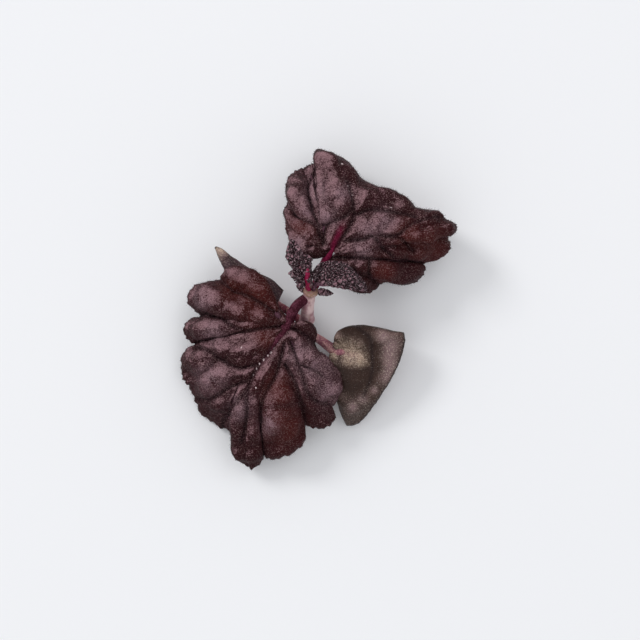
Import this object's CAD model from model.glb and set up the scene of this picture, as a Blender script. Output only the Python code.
import random

import bpy
import numpy as np
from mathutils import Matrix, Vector, noise
from mathutils.kdtree import KDTree


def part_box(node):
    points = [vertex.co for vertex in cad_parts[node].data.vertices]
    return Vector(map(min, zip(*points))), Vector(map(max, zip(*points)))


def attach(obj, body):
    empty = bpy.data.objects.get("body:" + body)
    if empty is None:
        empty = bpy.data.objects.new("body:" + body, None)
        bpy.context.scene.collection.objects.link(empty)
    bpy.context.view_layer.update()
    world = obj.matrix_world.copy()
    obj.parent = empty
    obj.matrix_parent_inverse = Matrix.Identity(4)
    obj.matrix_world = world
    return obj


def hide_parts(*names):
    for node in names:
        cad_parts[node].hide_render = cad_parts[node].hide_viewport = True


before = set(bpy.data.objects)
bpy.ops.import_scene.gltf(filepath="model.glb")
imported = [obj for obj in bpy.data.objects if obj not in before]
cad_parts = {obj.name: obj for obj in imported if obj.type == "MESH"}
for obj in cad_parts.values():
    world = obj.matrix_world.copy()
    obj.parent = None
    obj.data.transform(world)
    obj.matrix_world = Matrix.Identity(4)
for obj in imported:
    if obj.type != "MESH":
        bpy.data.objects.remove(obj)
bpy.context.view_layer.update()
mm = 0.001


# ---------------------------------------------------------------- leaf shapes, in millimetres

def smooth(low, high, x):
    t = np.clip((x - low) / (high - low), 0, 1)
    return t * t * (3 - 2 * t)


def curveThrough(points, count, closedEnd=True):
    # uniform Catmull-Rom through the points, count samples
    p = np.array(points, float)
    p = np.vstack([2 * p[0] - p[1], p, 2 * p[-1] - p[-2]])
    u = np.linspace(0, len(points) - 1, count, endpoint=closedEnd)
    i = np.minimum(u.astype(int), len(points) - 2)
    t = (u - i)[:, None]
    a, b, c, d = p[i], p[i + 1], p[i + 2], p[i + 3]
    return 0.5 * (2 * b + (c - a) * t + (2 * a - 5 * b + 4 * c - d) * t ** 2
                  + (3 * b - a - 3 * c + d) * t ** 3)


def marginOf(leaf, perLobe):
    lobes = leaf["lobes"]
    parts = []
    for i, lobe in enumerate(lobes):
        last = i == len(lobes) - 1
        through = lobe + [leaf["end"] if last else lobes[i + 1][0]]
        parts.append(curveThrough(through, perLobe + last, closedEnd=last))
    margin = np.vstack(parts) + leaf["base"]
    place = np.linspace(0, len(lobes), len(margin))
    return place, margin


def alongLobes(values, place):
    # one value per lobe, eased from the middle of each lobe to the next
    at = np.clip(place - 0.5, 0, len(values) - 1)
    before = np.minimum(at.astype(int), len(values) - 2)
    v = np.array(values, float)
    return v[before] + (v[before + 1] - v[before]) * smooth(0, 1, at - before)


def normalsOf(grid):
    around = np.gradient(grid, axis=0)
    outward = np.gradient(grid, axis=1)
    n = np.cross(around, outward)
    n /= np.maximum(np.linalg.norm(n, axis=2, keepdims=True), 1e-9)
    return n if n[..., 2].mean() > 0 else -n


def puffsOf(leaf, place, share):
    # how far the blade swells between its creases
    veins, height = leaf["veins"], np.zeros((len(place), len(share)))
    for i, (tall, start) in enumerate(leaf["puffs"]):
        inside = (place >= veins[i]) & (place <= veins[i + 1])
        across = np.sin(np.pi * (place[inside] - veins[i]) / (veins[i + 1] - veins[i])) ** 1.5
        along = smooth(start, 0.75, share) * (1 - 0.6 * smooth(0.75, 1.02, share))
        height[inside] = tall * np.outer(across, along)
    return height


def cellField(grid, seeds, width):
    # 0 on the lines between neighbouring cells, 1 well inside a cell
    tree = KDTree(len(seeds))
    for i, seed in enumerate(seeds):
        tree.insert(seed, i)
    tree.balance()
    flat = grid.reshape(-1, 3)
    gap = np.empty(len(flat))
    for i, point in enumerate(flat):
        near = tree.find_n(point, 2)
        gap[i] = near[1][2] - near[0][2]
    return smooth(0, width, gap).reshape(grid.shape[:2])


def scatter(grid, spacing, rng):
    # jittered points about one spacing apart over the surface
    rows, columns = grid.shape[:2]
    length = np.linalg.norm(grid[:, -1] - grid[:, 0], axis=1).mean()
    seeds = []
    for k in range(1, int(length / spacing) + 2):
        j = min(int((k - 0.5) * spacing / length * columns), columns - 1)
        ring = np.linalg.norm(np.diff(grid[:, j], axis=0), axis=1).cumsum()
        for s in np.arange(rng.random() * spacing, ring[-1], spacing):
            i = int(np.searchsorted(ring, s + rng.uniform(-0.3, 0.3) * spacing))
            wobble = rng.randint(-1, 1) * columns * spacing / length * 0.25
            seeds.append(grid[min(max(i, 0), rows - 1), int(np.clip(j + wobble, 0, columns - 1))])
    return seeds


farAway = 9.0  # mm: where a blade has no crease


def nearFold(grid, fold):
    # distance in mm, seen from above, from each point to a crease
    path = curveThrough(fold, 12 * len(fold))
    flat = grid[..., :2].reshape(-1, 2)
    apart = np.min([np.hypot(flat[:, 0] - x, flat[:, 1] - y) for x, y in path], axis=0)
    return apart.reshape(grid.shape[:2])


def nearRow(grid, row):
    # distance in mm from each point to the same share along one ray
    return np.linalg.norm(grid - grid[row][None], axis=2)


def bladeOf(leaf, perLobe, columns, rng):
    place, margin = marginOf(leaf, perLobe)
    share = np.linspace(0.035, 1, columns)
    base = np.array(leaf["base"], float)
    reach = alongLobes(leaf["reach"], place)[:, None]
    knee = base + (margin - base) * reach
    knee[:, 2] = base[2] + alongLobes(leaf["lift"], place)
    bow = np.exp(-((place - leaf["apex"]) / leaf["bowWidth"]) ** 2)
    knee[:, 0] += bow * leaf["bow"][0]
    knee[:, 1] += bow * leaf["bow"][1]
    r = share[None, :, None]
    grid = (1 - r) ** 2 * base + 2 * r * (1 - r) * knee[:, None] + r ** 2 * margin[:, None]
    puff = puffsOf(leaf, place, share)
    grid = grid + normalsOf(grid) * puff[..., None]
    normal = normalsOf(grid)

    noFold = np.full(puff.shape, farAway)
    toFold = np.min([nearFold(grid, fold) for fold in leaf["folds"]] + [noFold], axis=0)
    rib = int(np.argmin(abs(place - leaf["apex"])))
    toRib = nearRow(grid, rib)
    toEdge = np.linalg.norm(grid - grid[:, -1:], axis=2)
    quilt = cellField(grid, scatter(grid, leaf["quilt"][0], rng), leaf["quilt"][0] * 0.55)
    pebble = cellField(grid, scatter(grid, leaf["pebble"][0], rng), leaf["pebble"][0] * 0.6)
    lumps = np.array([noise.noise(Vector(p) * 0.55) for p in grid.reshape(-1, 3)])
    lumps = lumps.reshape(grid.shape[:2])

    detail = leaf["quilt"][1] * quilt + leaf["pebble"][1] * pebble + leaf["lumps"] * lumps
    pillow = leaf["pillow"] * (1 - np.exp(-(toFold / 0.9) ** 1.1)) * (1 - 0.7 * np.exp(-toEdge / 0.8))
    calm = 0.25 + 0.75 * smooth(0.15, 0.7, normal[..., 2])  # steep, folded-over parts stay smoother
    detail = (detail + pillow * (0.8 + 0.9 * lumps)) * calm
    groove = leaf["groove"] * np.exp(-(toFold / 0.17) ** 2)
    ridge = leaf["ridge"] * np.exp(-(toRib / 0.22) ** 2) * (1 - smooth(0.3, 0.9, share))
    curl = leaf["curl"] * np.exp(-toEdge / 0.5)
    grid = grid + normal * (detail - groove + ridge - curl)[..., None]
    fine = 0.05 * leaf["ragged"] * np.sin(place * 61) + 0.05 * leaf["ragged"] * np.sin(place * 37 + 2)
    grid[..., :2] += (margin - base)[:, None, :2] / 9 * (fine[:, None] * share ** 6)[..., None]
    fields = {
        "crease": np.exp(-(toFold / 0.2) ** 2),
        "rib": np.exp(-(toRib / 0.3) ** 2) * (1 - smooth(leaf["ribEnd"] * 0.4, leaf["ribEnd"], share)),
        "cell": quilt,
        "pebble": pebble,
        "swell": (1 - np.exp(-(toFold / 1.1) ** 1.3)) * (1 - np.exp(-toEdge / 0.9)),
        "rim": np.exp(-toEdge / 0.28),
        "share": np.broadcast_to(share, puff.shape),
        "glow": spotField(grid, leaf["glow"]),
        "pale": spotField(grid, leaf["pale"]),
        "dark": spotField(grid, leaf["dark"]),
        "bead": spotField(grid, leaf["beads"]),
    }
    return grid, normal, fields


def spotField(grid, spots):
    # soft round patches, each (x, y, radius) seen from above
    field = np.zeros(grid.shape[:2])
    for x, y, radius in spots:
        apart = np.hypot(grid[..., 0] - x, grid[..., 1] - y)
        field = np.maximum(field, np.exp(-(apart / radius) ** 2))
    return field


def strip(points, radius, count=16):
    # patches in a row, close enough to read as one band
    return [(x, y, radius) for x, y in curveThrough(points, count)]


# ---------------------------------------------------------------- meshes

fieldNames = ["crease", "rib", "cell", "pebble", "swell", "rim", "share", "glow", "pale", "dark",
              "bead", "under", "stalk"]


standHeight = 0.02  # mm: nothing reaches below it


class Build:
    # gathers parts of one piece: points in mm, faces and named values per point
    def __init__(self):
        self.points, self.faces, self.values, self.count = [], [], {n: [] for n in fieldNames}, 0

    def add(self, points, faces, fields):
        self.points.append(points)
        self.faces += [tuple(v + self.count for v in face) for face in faces]
        for name in fieldNames:
            self.values[name].append(np.broadcast_to(fields.get(name, 0.0), len(points)))
        self.count += len(points)

    def sheet(self, grid, normal, fields, thickness):
        rows, columns = grid.shape[:2]
        index = np.arange(rows * columns).reshape(rows, columns)
        a, b = index[:-1, :-1].ravel(), index[:-1, 1:].ravel()
        c, d = index[1:, 1:].ravel(), index[1:, :-1].ravel()
        upward = np.cross(grid[1, -1] - grid[0, -1], grid[0, -1] - grid[0, -2]) @ normal[0, -1] > 0
        quads = np.stack([a, d, c, b] if upward else [a, b, c, d], 1)
        under = quads[:, ::-1] + rows * columns
        rim = np.concatenate([index[0], index[1:, -1], index[-1, -2::-1]])
        p, q = rim[:-1], rim[1:]
        sides = [p, q, q + rows * columns, p + rows * columns]
        wall = np.stack(sides if upward else sides[::-1], 1)
        taper = (thickness / 2 * (1 - 0.55 * fields["rim"]))[..., None]
        upper, lower = grid + normal * taper, grid - normal * taper
        points = np.vstack([upper.reshape(-1, 3), lower.reshape(-1, 3)])
        doubled = {n: np.concatenate([v.ravel(), v.ravel()]) for n, v in fields.items()}
        doubled["under"] = np.repeat([0.0, 1.0], rows * columns)
        self.add(points, np.vstack([quads, under, wall]).tolist(), doubled)

    def tube(self, path, radii, sides, fields, ripple=0.0):
        # path: (n, 3), radii: (n,)
        n = len(path)
        ahead = np.gradient(path, axis=0)
        ahead /= np.linalg.norm(ahead, axis=1, keepdims=True)
        across = np.cross(ahead, [0.13, 0.21, 1.0])
        across /= np.linalg.norm(across, axis=1, keepdims=True)
        upward = np.cross(ahead, across)
        angle = np.linspace(0, 2 * np.pi, sides, endpoint=False)
        wave = 1 + ripple * (np.cos(4 * angle) * 0.6 + np.cos(7 * angle + 1) * 0.4)
        turn = angle[None, :, None]
        spokes = np.cos(turn) * across[:, None] + np.sin(turn) * upward[:, None]
        ring = path[:, None] + spokes * (radii[:, None] * wave[None])[..., None]
        points = np.vstack([ring.reshape(-1, 3), path[:1], path[-1:]])
        faces = []
        for i in range(n - 1):
            for k in range(sides):
                j = (k + 1) % sides
                faces.append((i * sides + k, (i + 1) * sides + k, (i + 1) * sides + j, i * sides + j))
        for k in range(sides):
            j = (k + 1) % sides
            faces.append((n * sides, k, j))
            faces.append((n * sides + 1, (n - 1) * sides + j, (n - 1) * sides + k))
        along = np.repeat(np.linspace(0, 1, n), sides)
        here = dict(fields)
        here["share"] = np.concatenate([along, [0, 1]])
        self.add(points, faces, here)

    def piece(self, name, shift):
        points = np.vstack(self.points) + shift
        points[:, 2] = np.maximum(points[:, 2], standHeight)
        mesh = bpy.data.meshes.new(name)
        mesh.from_pydata((points * mm).tolist(), [], self.faces)
        for field in fieldNames:
            values = np.concatenate(self.values[field]).astype(np.float32)
            mesh.attributes.new(field, "FLOAT", "POINT").data.foreach_set("value", values)
        mesh.shade_smooth()
        mesh.update()
        piece = bpy.data.objects.new(name, mesh)
        bpy.context.scene.collection.objects.link(piece)
        return piece


# ---------------------------------------------------------------- node building

class Wire:
    # one node socket that can take part in sums
    def __init__(self, tree, socket):
        self.tree, self.socket = tree, socket

    def math(self, operation, *others, clamp=False):
        node = self.tree.nodes.new("ShaderNodeMath")
        node.operation, node.use_clamp = operation, clamp
        for slot, value in zip(node.inputs, (self,) + others):
            plug(self.tree, slot, value)
        return Wire(self.tree, node.outputs[0])

    def __add__(self, other): return self.math("ADD", other)
    def __radd__(self, other): return self.math("ADD", other)
    def __sub__(self, other): return self.math("SUBTRACT", other)
    def __rsub__(self, other): return (self * -1).math("ADD", other)
    def __mul__(self, other): return self.math("MULTIPLY", other)
    def __rmul__(self, other): return self.math("MULTIPLY", other)
    def __truediv__(self, other): return self.math("DIVIDE", other)
    def clamp(self): return self.math("ADD", 0.0, clamp=True)

    def step(self, low, high):
        # eased from 0 at low to 1 at high
        node = self.tree.nodes.new("ShaderNodeMapRange")
        node.interpolation_type = "SMOOTHSTEP"
        plug(self.tree, node.inputs["Value"], self)
        node.inputs["From Min"].default_value, node.inputs["From Max"].default_value = low, high
        return Wire(self.tree, node.outputs[0])


def plug(tree, slot, value):
    if isinstance(value, Wire):
        tree.links.new(value.socket, slot)
    elif value is not None:
        slot.default_value = value


class Graph:
    def __init__(self, tree):
        self.tree = tree

    def add(self, kind, settings=None, values=None, out=0):
        node = self.tree.nodes.new(kind)
        for key, value in (settings or {}).items():
            setattr(node, key, value)
        for key, value in (values or {}).items():
            plug(self.tree, node.inputs[key], value)
        return node if out is None else Wire(self.tree, node.outputs[out])

    def field(self, name):
        return self.add("ShaderNodeAttribute", {"attribute_name": name}, out="Fac")

    def noise(self, where, scale, detail=3.0, rough=0.55):
        return self.add("ShaderNodeTexNoise", {}, {"Vector": where, "Scale": scale, "Detail": detail,
                                                   "Roughness": rough})

    def cells(self, where, scale, feature="F1"):
        return self.add("ShaderNodeTexVoronoi", {"feature": feature}, {"Vector": where, "Scale": scale},
                        "Distance")

    def mix(self, factor, first, second):
        node = self.tree.nodes.new("ShaderNodeMix")
        node.data_type = "RGBA"
        plug(self.tree, node.inputs["Factor"], factor)
        plug(self.tree, node.inputs[6], first)
        plug(self.tree, node.inputs[7], second)
        return Wire(self.tree, node.outputs[2])


def hue(red, green, blue):
    # display values 0-255 to the linear values that nodes take
    def linear(v):
        v /= 255
        return v / 12.92 if v <= 0.04045 else ((v + 0.055) / 1.055) ** 2.4
    return (linear(red), linear(green), linear(blue), 1.0)


def newMaterial(name, principled):
    material = bpy.data.materials.new(name)
    material.use_nodes = True
    tree = material.node_tree
    tree.nodes.clear()
    graph = Graph(tree)
    shader = graph.add("ShaderNodeBsdfPrincipled", {}, principled, out=None)
    output = tree.nodes.new("ShaderNodeOutputMaterial")
    tree.links.new(shader.outputs[0], output.inputs["Surface"])
    return material, graph, shader


def bump(graph, shader, layers):
    # layers: (height, strength, distance in mm), the coarsest first
    normal = None
    for height, strength, distance in layers:
        values = {"Height": height, "Strength": strength, "Distance": distance * mm}
        if normal is not None:
            values["Normal"] = normal
        normal = graph.add("ShaderNodeBump", {}, values)
    plug(graph.tree, shader.inputs["Normal"], normal)


bloomSide = (-0.42, 0.36, 0.83)  # the way the dustiest skin faces


# a purple leaf: dark tissue, a dusty bloom on whatever faces the light, warm thin patches, darker
# creases, pale glands, and a pink stalk and rib
def leafMaterial(name, look):
    material, g, shader = newMaterial(name, {"Specular IOR Level": look["gloss"]})
    where = g.add("ShaderNodeTexCoord", out="Object")
    normal = g.add("ShaderNodeNewGeometry", out="Normal")
    facing = g.add("ShaderNodeVectorMath", {"operation": "DOT_PRODUCT"}, {0: normal, 1: bloomSide},
                   out="Value")
    broad = g.noise(where, 260, 3)
    mottle = g.noise(where, 1100, 4, 0.6)
    grain = g.noise(where, 8200, 2, 0.6)
    crease, cell, pebble = g.field("crease"), g.field("cell"), g.field("pebble")
    under, stalk, rim = g.field("under"), g.field("stalk"), g.field("rim")

    bloom = (facing.step(0.58, 1.0) * 1.05 + g.field("swell") * 0.3 + (broad - 0.5) * 0.9
             + (mottle - 0.5) * 2.0 + (grain - 0.5) * look["grain"] - crease * 0.5 - (1 - cell) * 0.12
             + (pebble - 0.5) * look["pebbleBloom"] + look["bloom"]).clamp()
    warm = (g.field("glow") * (0.75 + (broad - 0.5) * 1.2)).clamp()
    colour = g.mix(bloom, hue(*look["deep"]), hue(*look["dust"]))
    colour = g.mix(warm * 0.85, colour, hue(*look["warm"]))
    dusted = g.field("pale") * (look["paleBase"] + (mottle - 0.5) * 2.4 + (grain - 0.5) * 2.8)
    colour = g.mix(dusted.clamp(), colour, hue(*look["paleHue"]))
    dark = (g.field("dark") * 1.2).clamp()
    colour = g.mix(dark, colour, hue(*look["darkHue"]))
    lines = crease * 0.65 + (1 - cell) * 0.12 * (1 - crease) + rim * rim * look["rimDark"]
    colour = g.mix(lines.clamp(), colour, hue(*look["line"]))
    dots = g.cells(where, 5200)
    chosen = g.noise(where, 1500, 1)
    sparkle = (1 - dots.step(0.06, 0.24)) * chosen.step(0.5, 0.66) * look["dots"]
    colour = g.mix(sparkle.clamp(), colour, hue(*look["dotHue"]))
    more = 1 + g.field("pale") * look["paleFlecks"] + g.field("glow") * look["glowFlecks"]
    flecks = grain.step(0.5, 0.72) * look["flecks"] * more * (1 - dark * 0.8)
    colour = g.mix(flecks.clamp(), colour, hue(*look["dotHue"]))
    streaks = (grain * 0.5 + mottle * 0.5).step(0.42, 0.62)
    ribColour = g.mix(streaks, hue(*look["rib"]), hue(*look["ribPale"]))
    colour = g.mix((g.field("rib") * look["ribWeight"] + stalk).clamp(), colour, ribColour)
    colour = g.mix(g.field("bead").step(0.25, 0.6) * chosen.step(0.3, 0.5), colour, hue(226, 204, 206))
    colour = g.mix(under * (1 - stalk) * 0.7, colour, hue(*look["back"]))
    plug(g.tree, shader.inputs["Base Color"], colour)
    rough = look["rough"] + (mottle - 0.5) * 0.35 + crease * 0.12 - bloom * 0.05
    plug(g.tree, shader.inputs["Roughness"], rough.clamp())
    wart = g.cells(where, 2300, "SMOOTH_F1")
    bump(g, shader, [(mottle, 0.8, 0.32), (wart, 0.6, 0.10), (grain, 0.75, 0.06),
                     (1 - dots.step(0.05, 0.3), 0.4 * look["dots"], 0.04)])
    return material


def hairMaterial(name, tint, alpha):
    finish = {"Roughness": 0.45, "Specular IOR Level": 0.4, "Alpha": alpha}
    material, g, shader = newMaterial(name, finish)
    shade = g.noise(g.add("ShaderNodeTexCoord", out="Object"), 900, 2)
    colour = g.mix(shade.step(0.35, 0.65), hue(*tint[0]), hue(*tint[1]))
    plug(g.tree, shader.inputs["Base Color"], colour)
    return material


# ---------------------------------------------------------------- hairs

perSquareMetre = 1e6  # of something counted per square millimetre


def growHairs(piece, skin, hair, growth):
    # geometry nodes: fine bent hairs standing on the piece, thicker where a named field is high
    tree = bpy.data.node_groups.new(piece.name + "Hairs", "GeometryNodeTree")
    face = tree.interface
    face.new_socket("Geometry", in_out="INPUT", socket_type="NodeSocketGeometry")
    sizes = {"Per square mm": growth["density"] * 1, "Length mm": growth["length"],
             "Width mm": growth["width"], "Lean": growth["lean"], "Stalk extra": growth["stalk"]}
    for label in sizes:
        face.new_socket(label, in_out="INPUT", socket_type="NodeSocketFloat")
    face.new_socket("Seed", in_out="INPUT", socket_type="NodeSocketInt")
    face.new_socket("Geometry", in_out="OUTPUT", socket_type="NodeSocketGeometry")
    g = Graph(tree)
    given = tree.nodes.new("NodeGroupInput")
    wire = {s.name: Wire(tree, s) for s in given.outputs if s.name}

    stalk = g.add("GeometryNodeInputNamedAttribute", {"data_type": "FLOAT"}, {"Name": "stalk"})
    under = g.add("GeometryNodeInputNamedAttribute", {"data_type": "FLOAT"}, {"Name": "under"})
    crease = g.add("GeometryNodeInputNamedAttribute", {"data_type": "FLOAT"}, {"Name": "crease"})
    share = (1 + stalk * wire["Stalk extra"] + crease * 1.2) * (1 - under * 0.5)
    thick = share * wire["Per square mm"] * perSquareMetre
    points = g.add("GeometryNodeDistributePointsOnFaces", {"distribute_method": "RANDOM"},
                   {"Mesh": wire["Geometry"], "Density": thick, "Seed": wire["Seed"]}, out=None)
    cone = g.add("GeometryNodeMeshCone", {"fill_type": "NONE"},
                 {"Vertices": 3, "Side Segments": 3, "Radius Top": 0.0,
                  "Radius Bottom": wire["Width mm"] * mm, "Depth": wire["Length mm"] * mm})
    place = g.add("GeometryNodeInputPosition", out=0)
    height = g.add("ShaderNodeSeparateXYZ", {}, {0: place}, out="Z") / (wire["Length mm"] * mm)
    sway = height * height * wire["Length mm"] * (mm * 0.4)
    sideways = g.add("ShaderNodeCombineXYZ", {}, {"X": sway})
    bent = g.add("GeometryNodeSetPosition", {}, {"Geometry": cone, "Offset": sideways})
    spread = g.add("FunctionNodeRandomValue", {"data_type": "FLOAT_VECTOR"},
                   {0: (-1.0, -1.0, -1.0), 1: (1.0, 1.0, 1.0), "Seed": wire["Seed"] + 3}, out=0)
    tilt = g.add("ShaderNodeVectorMath", {"operation": "SCALE"}, {0: spread, "Scale": wire["Lean"]})
    aim = g.add("ShaderNodeVectorMath", {"operation": "ADD"},
                {0: Wire(tree, points.outputs["Normal"]), 1: tilt})
    turn = g.add("FunctionNodeAlignRotationToVector", {"axis": "Z"}, {"Vector": aim})
    size = g.add("FunctionNodeRandomValue", {"data_type": "FLOAT"},
                 {2: 0.45, 3: 1.25, "Seed": wire["Seed"] + 7}, out=1)
    stood = g.add("GeometryNodeInstanceOnPoints", {},
                  {"Points": Wire(tree, points.outputs["Points"]), "Instance": bent, "Rotation": turn,
                   "Scale": size})
    solid = g.add("GeometryNodeRealizeInstances", {}, {"Geometry": stood})
    coloured = g.add("GeometryNodeSetMaterial", {}, {"Geometry": solid})
    coloured.socket.node.inputs["Material"].default_value = hair
    both = tree.nodes.new("GeometryNodeJoinGeometry")
    skinned = g.add("GeometryNodeSetMaterial", {}, {"Geometry": wire["Geometry"]})
    skinned.socket.node.inputs["Material"].default_value = skin
    tree.links.new(coloured.socket, both.inputs[0])
    tree.links.new(skinned.socket, both.inputs[0])
    tree.links.new(both.outputs[0], tree.nodes.new("NodeGroupOutput").inputs[0])

    modifier = piece.modifiers.new("Hairs", "NODES")
    modifier.node_group = tree
    named = {item.name: item.identifier for item in face.items_tree if item.in_out == "INPUT"}
    for label, value in sizes.items():
        modifier[named[label]] = float(value)
    modifier[named["Seed"]] = growth["seed"]
    made = bpy.data.meshes.new_from_object(piece.evaluated_get(bpy.context.evaluated_depsgraph_get()))
    piece.modifiers.clear()
    piece.data = made
    made.name = piece.name


def settle(piece, node):
    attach(piece, "root")
    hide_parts(node)


# ---------------------------------------------------------------- stem

stem = {
    "path": [(-0.4, -10.4, 0.72), (-0.7, -6.6, 1.5), (-1.2, -2.3, 3.4), (-1.2, -0.6, 4.9),
             (-1.0, 1.4, 6.5), (-0.75, 2.1, 7.2)],
    "radius": 0.62,
    "swelling": 0.16,
    "nodes": (0.56, 0.92),
    "seed": 11,
}
seedNode, trueNode = stem["path"][2], stem["path"][4]


def stemPiece():
    build = Build()
    path = curveThrough(stem["path"], 90)
    along = np.linspace(0, 1, 90)
    swell = sum(np.exp(-((along - at) / 0.05) ** 2) for at in stem["nodes"])
    radii = stem["radius"] + stem["swelling"] * swell + 0.015 * np.sin(along * 60)
    build.tube(path, radii, 40, {"stalk": 1.0}, ripple=0.03)
    return build


stemBuild = stemPiece()
everyPoint = np.vstack(stemBuild.points)
low, high = [np.array(corner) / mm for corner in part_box("stem")]
shift = (low + high) / 2 - (everyPoint.min(0) + everyPoint.max(0)) / 2
print("stem", shift)

stemLook = {"pale": (212, 182, 182), "pink": (142, 84, 98), "tan": (140, 106, 84)}


def stemMaterial():
    material, g, shader = newMaterial("stemSkin", {"Specular IOR Level": 0.5, "Sheen Weight": 0.1})
    where = g.add("ShaderNodeTexCoord", out="Object")
    stretched = g.add("ShaderNodeVectorMath", {"operation": "MULTIPLY"},
                      {0: where, 1: (1.0, 0.18, 0.35)})
    streak = g.noise(stretched, 2600, 3)
    blotch = g.noise(where, 700, 3)
    grain = g.noise(where, 6000, 2)
    share = g.field("share")
    colour = g.mix(streak.step(0.4, 0.75) * 0.6, hue(*stemLook["pale"]), hue(*stemLook["tan"]))
    colour = g.mix(blotch.step(0.42, 0.6) * 0.8, colour, hue(*stemLook["pink"]))
    colour = g.mix(share.step(0.82, 0.93) * grain.step(0.25, 0.55), colour, hue(*stemLook["tan"]))
    colour = g.mix(share.step(0.015, 0.0), colour, hue(206, 196, 168))
    plug(g.tree, shader.inputs["Base Color"], colour)
    plug(g.tree, shader.inputs["Roughness"], (0.42 + (grain - 0.5) * 0.3).clamp())
    bump(g, shader, [(streak, 0.6, 0.12), (grain, 0.4, 0.03)])
    return material


paleHair = hairMaterial("paleHair", ((235, 222, 220), (205, 170, 178)), 0.55)
darkHair = hairMaterial("darkHair", ((112, 70, 82), (50, 20, 30)), 0.6)

youngBristle = hairMaterial("youngBristle", ((132, 86, 100), (52, 20, 32)), 0.6)

stemObject = stemBuild.piece("stem", shift)
growHairs(stemObject, stemMaterial(), paleHair,
          {"density": 30, "length": 0.42, "width": 0.012, "lean": 0.6, "stalk": 0.0,
           "seed": stem["seed"]})
settle(stemObject, "stem")


# ---------------------------------------------------------------- true leaves

trueLook = {
    "deep": (42, 10, 15), "dust": (138, 104, 110), "warm": (80, 26, 20), "line": (14, 3, 7),
    "paleHue": (138, 108, 116), "darkHue": (30, 15, 20), "rib": (54, 14, 26), "ribPale": (104, 54, 70),
    "back": (96, 62, 76), "rimDark": 0.2, "ribWeight": 0.3, "rough": 0.58, "gloss": 0.07,
    "bloom": -0.48, "dots": 0.6, "dotHue": (190, 160, 156),
    "flecks": 0.2, "paleFlecks": 0.6, "glowFlecks": 0.0, "pebbleBloom": 0.0, "paleBase": 0.6,
    "grain": 2.4,
}

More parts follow.
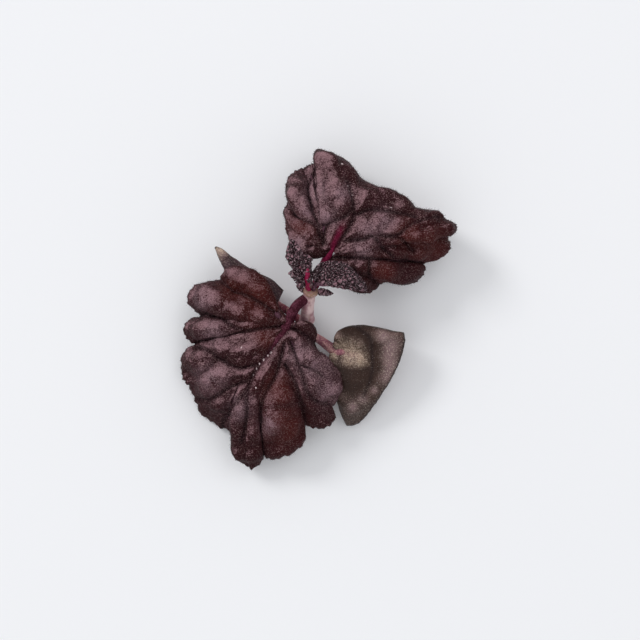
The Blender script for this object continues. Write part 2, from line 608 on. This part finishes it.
# each lobe starts at its notch; points are (x, y, z) from the blade's base
trueLeafLeft = {
    "petiole": [trueNode, (-2.3, 0.35, 6.6)], "petioleRadius": 0.5, "base": (-3.3, -1.65, 6.0),
    "lobes": [
        [(0.3, 0.8, 0), (-0.7, 1.9, -0.4), (-1.7, 2.9, -0.8), (-2.5, 4.4, -1.2), (-3.5, 5.6, -1.5),
         (-4.8, 6, -1.8), (-5.9, 5.7, -2.2)],
        [(-6.7, 4.8, -2.6), (-7.9, 4.4, -3), (-9, 3.8, -3.4), (-9.5, 2.9, -3.7), (-9.2, 1.9, -3.7)],
        [(-8.7, 1.1, -3.5), (-9.6, 0.7, -4), (-10, -0.2, -4.2), (-9.7, -1.2, -4.3)],
        [(-9.3, -1.8, -4.2), (-10, -2.5, -4.8), (-10.3, -3.9, -5.2), (-10, -5.1, -5.4)],
        [(-9.7, -5.9, -5.5), (-9.2, -7.1, -5.9), (-8.3, -8.4, -6.15), (-7.2, -9.4, -6.0),
         (-6.2, -10.2, -5.6)],
        [(-5.6, -10.8, -5), (-5.3, -11.7, -4.7), (-4.8, -12.9, -4.6), (-4.2, -13.8, -4.6),
         (-3.6, -14.3, -4.6), (-3, -13.9, -4.5), (-2.5, -13.4, -4.3)],
        [(-2.2, -12.9, -4.1), (-1.5, -13.1, -4.1), (0, -12.6, -4), (1.1, -11.8, -3.9),
         (1.7, -10.9, -3.7)],
        [(2, -10, -3.3), (3, -10, -3.5), (4, -9.7, -3.6), (4.7, -9.1, -3.6), (4.5, -8.3, -3.4)],
        [(3.3, -7.3, -2.5), (4.3, -8.0, -2.6), (4.9, -7.5, -2.5), (5.3, -6, -2.2), (5, -4.6, -1.7),
         (4.2, -3.4, -1.4)],
        [(3.4, -2.5, -1.2), (2.9, -1.5, -0.7), (3, -0.4, -0.4), (2.6, 0.3, -0.1), (1.7, 0.5, 0.1),
         (1, 0.4, 0.2)],
    ],
    "end": (0.5, 0.25, 0.1),
    "veins": [0, 1, 2, 3, 4, 5, 5.55, 6, 7, 8, 9, 10],
    "puffs": [(0.5, 0), (0.9, 0), (0.75, 0.15), (0.6, 0.3), (0.9, 0.35), (0.7, 0.4), (0.6, 0.45),
              (0.9, 0.3), (0.7, 0.25), (0.5, 0.1), (0.4, 0.2)],
    "reach": [0.5] * 10, "lift": [0.8, 1, 1, 1, 1.2, 1.2, 1.2, 1, 0.9, 0.3],
    "apex": 5.55, "bow": (-3, 0.8), "bowWidth": 2, "thickness": 0.24,
    "quilt": (2.1, 0.13), "pebble": (0.62, 0.055), "lumps": 0.14, "groove": 0.16, "ridge": 0.0,
    "pillow": 0.75, "curl": 0.12, "ragged": 1.0, "ribEnd": 0.5,
    "beads": [(-3.9, -2.9, 0.09), (-4.2, -3.3, 0.1), (-4.5, -3.8, 0.09), (-4.8, -4.2, 0.12),
              (-5.1, -4.5, 0.09), (-5.5, -4.9, 0.12), (-5.9, -5.3, 0.1), (-6.2, -5.8, 0.1),
              (-6.5, -6.4, 0.08), (-6.3, -7.7, 0.08), (-7.7, -3.7, 0.07), (-5.2, -9.9, 0.08)],
    "glow": [(-6.3, 1.4, 2.6), (-8.6, 1.9, 1.5), (-3.4, -11.6, 2.2), (-3.9, -7.9, 1.7),
             (-5.4, -2.6, 1.2)],
    "pale": [(-10.4, -2.4, 1.2), (-10.8, -6.6, 1.4), (-7.9, -9.6, 1.2), (-1.8, -4.6, 1.3),
             (-0.5, -6.0, 1.8), (0.9, -7.9, 1.3), (-11.6, 1.2, 0.9), (-5.1, -11.3, 0.9)],
    "dark": [],
    "folds": [
        [(-3.2, -1.8), (-4.1, -3.0), (-5.7, -5.2), (-6.7, -6.8), (-7.2, -8.5), (-7.3, -11),
         (-7.8, -13)],
        [(-3.2, -1.5), (-5.7, -1.8), (-7.6, -2.0), (-9.2, -1.2), (-10.8, -0.3), (-12, -0.55)],
        [(-7.4, -2.1), (-9.6, -2.6), (-11.8, -3.0), (-12.6, -3.45)],
        [(-5.9, -5.4), (-8, -5.7), (-9.7, -4.9), (-10.9, -4.1), (-12.4, -3.7)],
        [(-6.7, -7.0), (-8.8, -7.6), (-11, -8.9), (-13, -8.6)],
        [(-7.1, -8.0), (-8.4, -9.5), (-9.6, -11.4), (-8.9, -12.5)],
        [(-3.5, -3.4), (-4.2, -6.2), (-5.6, -9), (-5.8, -12), (-5.5, -14.6)],
        [(-2.8, -3.2), (-1.9, -5.6), (-1.1, -8.1), (-0.1, -9.1), (0.8, -9.3)],
        [(-3.4, -5.4), (-2.6, -6.6), (-1.8, -8.8), (-1.3, -11.6)],
        [(-1.9, -5.4), (-0.6, -5.9), (0.4, -6.6)],
        [(-3.1, -1.7), (-1.6, -2.3), (-0.4, -3.4), (0.1, -4.1)],
        [(-10, 3.1), (-8.6, 1.9), (-7.2, 1.5), (-5.6, 0.6), (-3.9, -0.6)],
    ],
    "seed": 21,
}

# its outer half bends over and down; the hidden apex touches the surface
trueLeafRight = {
    "petiole": [trueNode, (-0.2, 2.9, 6.35), (0.25, 4.1, 6.6)], "petioleRadius": 0.42,
    "base": (0.8, 5.25, 7.0),
    "lobes": [
        [(-0.5, 0.2, 0), (-1.3, 0.6, -0.3), (-2.4, 1.15, -0.8), (-3.3, 1.7, -1.5), (-3.9, 2.7, -2)],
        [(-4.1, 3.7, -2.2), (-4.2, 4.6, -2.5)],
        [(-3.8, 5.5, -2.7), (-3.9, 6.6, -2.9), (-3.6, 7.9, -3.1), (-3, 8.6, -3.3)],
        [(-2.3, 9, -3.5), (-1.6, 9.3, -3.8)],
        [(-0.9, 9.6, -4), (-1, 10.5, -4.4), (-0.5, 10.4, -4.6), (1.1, 9.5, -5.2)],
        [(2.4, 8.2, -5.8), (3.3, 6.8, -6.5), (4.3, 5.9, -6.8), (5.5, 5.5, -6.8), (6.9, 5.1, -6.5)],
        [(8.1, 4.6, -6), (9.8, 4.2, -5), (11, 4.1, -4)],
        [(11.9, 3.9, -3.4), (12.5, 3.4, -3.3), (12.75, 2.85, -3.4)],
        [(11.5, 2.7, -3.5), (12, 1.9, -4), (12, 1.3, -4.2), (11.7, 0.7, -4.1), (11, 0, -3.9)],
        [(9.6, -0.5, -3.5), (9.7, -1.2, -3.6), (9.3, -1.9, -3.7), (8.4, -2.4, -3.7), (7.1, -2.3, -3.6)],
        [(5.6, -2.5, -3.3), (4.9, -3, -3.3), (3.9, -3.3, -3.2), (2.5, -3, -2.8), (1.3, -2.3, -2.2)],
        [(0.7, -1.4, -1.2), (0.4, -0.9, -0.5)],
    ],
    "end": (0.1, -0.4, -0.1),
    "veins": [0, 1, 2, 3, 4, 5.2, 6, 7, 8, 9, 10, 12],
    "puffs": [(0.7, 0), (0.5, 0.1), (0.8, 0.25), (0.5, 0.3), (0.6, 0.3), (0.4, 0.4), (0.4, 0.4),
              (0.5, 0.3), (0.6, 0.35), (0.6, 0.2), (0.6, 0.2)],
    "reach": [0.5, 0.5, 0.5, 0.55, 1, 1.55, 1.2, 0.75, 0.5, 0.5, 0.5, 0.5],
    "lift": [0.6, 1, 1.1, 1.3, 1.5, 1.5, 1.5, 1.4, 1, 0.7, 0.2, 0.1],
    "apex": 5.2, "bow": (0, 0), "bowWidth": 1, "thickness": 0.24,
    "quilt": (2.1, 0.13), "pebble": (0.62, 0.055), "lumps": 0.14, "groove": 0.16, "ridge": 0.0,
    "pillow": 0.6, "curl": 0.12, "ragged": 1.0, "ribEnd": 0.24,
    "stalkDrops": ((0.04, 0.2), (0.1, 0.45)),
    "beads": [(2.7, 12.8, 0.08), (2.8, 12.3, 0.1), (3.0, 11.8, 0.08), (3.2, 11.4, 0.08),
              (2.3, 14.5, 0.1), (7.1, 10.2, 0.1), (1.0, 6.3, 0.08)],
    "glow": [(10.8, 6.6, 2.0), (6.3, 3.9, 1.4), (-1.8, 8.3, 1.3), (8.9, 7.3, 1.6)],
    "pale": [(-0.5, 11.6, 1.3), (0.7, 9.4, 1.1), (-1.2, 9.6, 1.0), (6.4, 8.7, 1.1), (5.0, 7.9, 1.0),
             (4.4, 6.2, 1.0), (-2.1, 6.6, 0.9), (2.3, 11.6, 0.9)],
    "dark": [],
    "folds": [
        [(0.8, 5.2), (1.7, 6.5), (2.6, 7.6), (3.4, 9.2), (3.3, 10.6), (2.8, 12.6)],
        [(0.4, 6.6), (0.7, 8.4), (2.6, 9.3), (3.4, 10.4)],
        [(-2.4, 9.3), (-0.5, 8.5), (0.3, 7.0)],
        [(-0.4, 13.8), (-1.1, 12.0), (-0.7, 9.9), (0.1, 8.2)],
        [(1.0, 5.2), (4, 5.2), (7, 5.1), (9.6, 5.0), (10.2, 4.9)],
        [(2.6, 6.9), (4.3, 7.0), (5.4, 7.3), (6.3, 6.2), (7.4, 5.3)],
        [(6.1, 7.4), (8.1, 7.1), (9.3, 5.9)],
        [(11.9, 9.3), (10.1, 8.9), (8.7, 8.2), (7.9, 7.5), (6.6, 7.3)],
        [(5.0, 5.1), (5.0, 3.6), (6.0, 2.6)],
        [(3.5, 9.4), (5.2, 9.9), (7.4, 9.7), (9.6, 9.2)],
    ],
    "seed": 31,
}


def leafPiece(name, leaf, material, hair, growth, perLobe, columns):
    rng = random.Random(leaf["seed"])
    build = Build()
    grid, normal, fields = bladeOf(leaf, perLobe, columns, rng)
    build.sheet(grid, normal, fields, leaf["thickness"])
    rib = grid[int(round(leaf.get("stalkRow", leaf["apex"]) / len(leaf["lobes"]) * (len(grid) - 1)))]
    drops = leaf.get("stalkDrops", ((0.1, 0.1), (0.22, 0.4)))
    sunk = [tuple(rib[int(columns * part)] - (0, 0, drop)) for part, drop in drops]
    path = curveThrough(leaf["petiole"] + [leaf["base"]] + sunk, 40)
    along = np.linspace(0, 1, 40)
    thick, thin = leaf["petioleRadius"], leaf["thickness"] * 0.4
    radii = thick + (thin - thick) * smooth(0.55, 1, along)
    radii += leaf.get("flare", 0) * np.exp(-((along - 0.6) / 0.2) ** 2)
    # the stalk's colour gives way to the blade's where it runs in
    fields = {"stalk": 1 - smooth(0.72, 1, along), "pale": spotField(path[None], leaf["pale"])[0]}
    build.tube(path, radii, 20, {n: np.append(np.repeat(v, 20), v[[0, -1]]) for n, v in fields.items()},
               ripple=0.04)
    piece = build.piece(name, shift)
    growHairs(piece, material, hair, dict(growth, seed=leaf["seed"]))
    settle(piece, name)
    print(name, len(piece.data.polygons), "faces")
    return piece


trueHair = {"density": 17, "length": 0.24, "width": 0.01, "lean": 0.75, "stalk": 6.0}
leafPiece("true_leaf_left", trueLeafLeft, leafMaterial("leafLeft", trueLook), darkHair, trueHair,
          30, 96)
rightLook = dict(trueLook, rib=(104, 8, 46), ribPale=(140, 40, 76), ribWeight=0.85)
leafPiece("true_leaf_right", trueLeafRight, leafMaterial("leafRight", rightLook), darkHair, trueHair,
          26, 96)


# ---------------------------------------------------------------- seed leaves

seedLook = {
    "deep": (60, 42, 35), "dust": (112, 88, 84), "warm": (146, 118, 120), "line": (26, 12, 14),
    "paleHue": (180, 156, 136), "darkHue": (50, 31, 24), "rib": (140, 84, 98),
    "ribPale": (212, 164, 158),
    "back": (128, 92, 100), "rimDark": 1.8, "ribWeight": 0.2, "rough": 0.5, "gloss": 0.2,
    "bloom": -0.3, "dots": 0.12, "dotHue": (214, 196, 180),
    "flecks": 0.2, "paleFlecks": 2.8, "glowFlecks": 2.0, "pebbleBloom": 0.0, "paleBase": 0.7,
    "grain": 1.6,
}
smoothSkin = {"beads": [], "pillow": 0.35, "quilt": (2.4, 0.03), "pebble": (0.5, 0.02), "lumps": 0.1,
              "groove": 0.03, "ridge": 0.0,
              "curl": 0.0, "ragged": 0.25, "ribEnd": 0.5, "bow": (0, 0), "bowWidth": 1}

seedLeafRight = {
    "petiole": [seedNode, (-0.1, -2.85, 3.5)], "petioleRadius": 0.42, "flare": 0.2,
    "base": (1.5, -3.95, 3.3),
    "lobes": [
        [(0.2, 0.6, 0.1), (0.6, 1.2, 0.1), (1, 1.9, -0.1), (1.8, 2.2, -0.3), (3.1, 2.2, -0.4),
         (5.1, 1.9, -0.1)],
        [(7, 1.6, 0.6), (7.1, 0.8, 0.7), (6.8, -0.6, 0.6), (6.3, -1.9, 0.3), (5.6, -3.2, -0.1)],
        [(4.7, -4.4, -0.7), (4, -5.5, -1.1), (3.3, -6.5, -1.7), (2.4, -7.3, -2.5)],
        [(1.5, -7.5, -3.2), (1.25, -6.5, -2.8), (0.95, -5.2, -2.2), (0.75, -4.3, -1.7), (0.3, -3, -1.2),
         (-0.3, -1.7, -0.6)],
    ],
    "end": (-0.3, -0.6, -0.2),
    "veins": [0, 1, 2, 4], "puffs": [(0.5, 0), (-0.5, 0), (0.5, 0)],
    "reach": [0.5] * 4, "lift": [1.2, 1.2, 0.9, 0.5], "apex": 1.6, "thickness": 0.34,
    "glow": strip([(7.3, -3.4), (7.1, -4.4), (7.3, -5.4), (6.9, -6.6)], 0.85)
            + [(4.3, -8.8, 0.5), (3.4, -9.6, 0.5), (5.5, -7.9, 0.4), (6.4, -2.7, 0.6)],
    "pale": [(3.1, -4.5, 1.3), (2.2, -4.0, 1.0), (4.1, -5.0, 0.9), (1.5, -4.4, 0.8)],
    "dark": strip([(2.7, -2.0), (4.4, -2.5), (5.3, -3.5), (5.5, -4.7), (5.6, -5.9), (4.9, -7.0)], 0.7)
            + strip([(1.8, -6.0), (3.4, -6.4), (4.8, -6.2)], 0.85)
            + strip([(2.8, -7.4), (3.8, -7.6)], 0.9),
    "folds": [[(3.6, -1.7), (5.1, -2.9), (5.3, -4.6), (5.2, -6.6), (4.4, -8.6)]],
    "seed": 41, **smoothSkin,
}

seedLeafLeft = {
    "petiole": [seedNode, (-2.2, -0.75, 3.5)], "petioleRadius": 0.38, "base": (-4.2, 0.6, 3.3),
    "lobes": [
        [(0.6, 1.35, 0.1), (-0.5, 2.35, 0), (-2.1, 3.15, -0.1), (-3.7, 4.05, -0.3), (-5, 4.9, -0.5)],
        [(-6.2, 5.75, -0.8), (-5.8, 4.75, -0.7), (-5.1, 3.25, -0.7), (-4.1, 1.25, -1.1)],
        [(-2.9, -0.75, -1.5), (-1.9, -1.75, -1.6), (-0.7, -1.35, -1.1), (0.1, -0.5, -0.5)],
    ],
    "end": (0.35, -0.25, -0.1),
    "veins": [0, 1.5, 3], "puffs": [(0.3, 0), (0.3, 0)],
    "reach": [0.5] * 3, "lift": [0.5] * 3, "apex": 1.5, "thickness": 0.34,
    "glow": [], "pale": [(-10.1, 6.1, 0.8)], "dark": [],
    "folds": [[(-4.2, 0.6), (-6.4, 2.6), (-9, 5.2)]],
    "seed": 51, **smoothSkin,
}

seedHair = {"density": 3, "length": 0.14, "width": 0.008, "lean": 0.9, "stalk": 2.5}
leafPiece("seed_leaf_right", seedLeafRight, leafMaterial("seedRight", seedLook), paleHair, seedHair,
          60, 90)
mauveLook = dict(seedLook, deep=(72, 48, 55), dust=(116, 92, 98), rib=(130, 56, 74))
leafPiece("seed_leaf_left", seedLeafLeft, leafMaterial("seedLeft", mauveLook), paleHair, seedHair,
          60, 80)


# ---------------------------------------------------------------- young leaves and buds

youngLook = dict(trueLook, deep=(34, 7, 15), dust=(140, 102, 112), line=(12, 3, 6), rib=(116, 8, 46),
                 ribPale=(150, 34, 76), dots=0.9, flecks=0.45, bloom=-0.66, rimDark=0.1,
                 pebbleBloom=1.5, grain=2.2,
                 gloss=0.14, rough=0.38, dotHue=(226, 204, 210))
blackberry = {"beads": [], "pillow": 0.0, "folds": [], "quilt": (0.62, 0.17), "pebble": (0.36, 0.12),
              "lumps": 0.05, "groove": 0.1, "ridge": 0.06,
              "curl": 0.05, "ragged": 0.6, "bow": (0, 0), "bowWidth": 1}

# folded shut along its midrib, the blade's straight last ray
youngLeafRight = {
    "petiole": [(-0.65, 1.9, 7.05), (-0.5, 2.25, 7.5)], "petioleRadius": 0.22,
    "base": (-0.3, 2.65, 7.9),
    "lobes": [
        [(-0.2, 0.4, 0.2), (-0.3, 1.2, 0.7), (0.1, 1.9, 0.9)],
        [(0.7, 2.2, 1), (1.7, 2.3, 0.9), (2.8, 2.1, 0.5)],
        [(3.5, 1.6, 0.1), (4.2, 0.8, -0.4), (4.8, 0, -1)],
    ],
    "end": (5, -0.7, -1.6),
    "veins": [0, 1, 2, 3], "puffs": [(0.3, 0.1)] * 3,
    "reach": [0.5, 0.5, 0.55], "lift": [0.5, 0.6, 0.5], "apex": 3, "thickness": 0.22, "ribEnd": 0.3,
    "glow": [], "pale": [], "dark": [],
    "seed": 61, **blackberry,
}

youngLeafLeft = {
    "petiole": [(-0.9, 1.9, 7.05), (-1.08, 2.15, 7.5)], "petioleRadius": 0.22,
    "base": (-1.2, 2.45, 7.9),
    "lobes": [
        [(-0.4, -0.1, -0.2), (-0.8, 0.1, -0.1), (-0.95, 0.4, 0.1)],
        [(-0.9, 0.6, 0.3), (-1.3, 0.95, 0.3), (-1.65, 1.3, 0.4), (-1.5, 1.5, 0.6)],
        [(-1.25, 1.7, 0.8), (-1.65, 2.45, 0.9), (-2, 3.1, 1.1), (-1.9, 4, 1.3)],
        [(-1.6, 4.7, 1.4), (-1, 4.4, 1.6), (-0.6, 3.8, 1.7)],
        [(-0.3, 3.1, 1.7), (0.2, 3, 1.5), (0.45, 2.6, 1.3), (0.42, 2, 1.2)],
        [(0.38, 1.6, 1), (0.35, 1, 0.6)],
    ],
    "end": (0.2, 0.5, 0.3),
    "veins": [0, 1, 2, 3, 4, 5, 6], "puffs": [(0.25, 0.2)] * 6,
    "reach": [0.5] * 6, "lift": [0.5, 0.8, 1, 1, 1, 0.8], "apex": 3, "thickness": 0.22, "ribEnd": 0.7,
    "stalkRow": 4.35, "stalkDrops": ((0.3, -0.1), (0.55, -0.06), (0.75, 0.35)), "flare": 0.08,
    "glow": [], "pale": [], "dark": [],
    "seed": 71, **blackberry,
}

youngHair = {"density": 10, "length": 0.22, "width": 0.012, "lean": 0.5, "stalk": 0.5}
youngSkin = leafMaterial("youngSkin", youngLook)
foldedSkin = leafMaterial("foldedSkin", dict(youngLook, rib=(52, 24, 34), ribPale=(110, 76, 90)))
leafPiece("young_leaf_right", youngLeafRight, foldedSkin, youngBristle, youngHair, 60, 60)
leafPiece("young_leaf_left", youngLeafLeft, youngSkin, youngBristle, youngHair, 34, 60)

buds = [
    {"name": "shoot_tip", "foot": (-0.76, 2.46, 7.55), "tip": (-0.76, 3.0, 8.5),
     "radius": 0.21, "seed": 81},
    {"name": "side_bud_right", "foot": (-0.3, 1.9, 6.95), "tip": (1.45, 1.65, 6.9),
     "radius": 0.4, "seed": 82},
    {"name": "side_bud_left", "foot": (-1.35, 1.8, 6.8), "tip": (-2.3, 2.5, 7.4),
     "radius": 0.3, "seed": 83},
]
for bud in buds:
    foot, tip = np.array(bud["foot"]), np.array(bud["tip"])
    along = np.linspace(0, 1, 40)
    path = foot + (tip - foot) * along[:, None]
    radii = bud["radius"] * np.maximum(np.sin(np.pi * along ** 0.75) ** 0.7, 0.02)
    build = Build()
    build.tube(path, radii, 36, {"pebble": 1.0, "cell": 1.0})
    warts = build.points[0]
    axis = tip - foot
    middle = foot + axis * np.clip((warts - foot) @ axis / (axis @ axis), 0, 1)[:, None]
    rng = random.Random(bud["seed"])
    seeds = [warts[rng.randrange(len(warts))] for _ in range(26)]
    bulge = cellField(warts[None], seeds, 0.22)[0][:, None]
    build.points[0] = middle + (warts - middle) * (0.82 + 0.3 * bulge)
    piece = build.piece(bud["name"], shift)
    growHairs(piece, foldedSkin, youngBristle,
              dict(youngHair, density=30, length=0.16, seed=bud["seed"]))
    settle(piece, bud["name"])


# ---------------------------------------------------------------- surface, light, camera

def floorMaterial():
    material, g, shader = newMaterial("paleSurface", {"Roughness": 0.8, "Specular IOR Level": 0.2})
    shade = g.noise(g.add("ShaderNodeTexCoord", out="Object"), 12, 2)
    plug(g.tree, shader.inputs["Base Color"], g.mix(shade, hue(244, 244, 246), hue(242, 243, 245)))
    return material


side = 1.2  # of the surface, from its middle to its edge, in metres
floorMesh = bpy.data.meshes.new("surface")
floorMesh.from_pydata([(-side, -side, 0), (side, -side, 0), (side, side, 0), (-side, side, 0)], [],
                      [(0, 1, 2, 3)])
floorMesh.materials.append(floorMaterial())
floor = bpy.data.objects.new("surface", floorMesh)
bpy.context.scene.collection.objects.link(floor)

world = bpy.data.worlds.new("studio")
world.use_nodes = True
world.node_tree.nodes["Background"].inputs["Color"].default_value = (0.97, 0.98, 1.0, 1)
world.node_tree.nodes["Background"].inputs["Strength"].default_value = 0.74
bpy.context.scene.world = world

centre = Vector((0.24, -0.93, 4.5)) * mm  # what the camera and lights aim at


def softLight(name, place, size, power):
    light = bpy.data.lights.new(name, "AREA")
    light.shape, light.size, light.energy = "DISK", size, power
    lamp = bpy.data.objects.new(name, light)
    lamp.location = place
    lamp.rotation_euler = (centre - Vector(place)).to_track_quat("-Z", "Y").to_euler()
    bpy.context.scene.collection.objects.link(lamp)


softLight("window", (-0.9, 0.75, 0.9), 0.5, 7.5)
softLight("fill", (0.5, 0.7, 1.2), 0.8, 1.6)

lens, sensor, viewWidth = 200, 36, 64 * mm
cameraData = bpy.data.cameras.new("camera")
cameraData.lens, cameraData.sensor_width = lens, sensor
cameraData.clip_start, cameraData.clip_end = 0.01, 10
camera = bpy.data.objects.new("camera", cameraData)
camera.location = centre + Vector((0, 0, viewWidth * lens / sensor))
bpy.context.scene.collection.objects.link(camera)
bpy.context.scene.camera = camera
bpy.context.scene.view_settings.view_transform = "Standard"
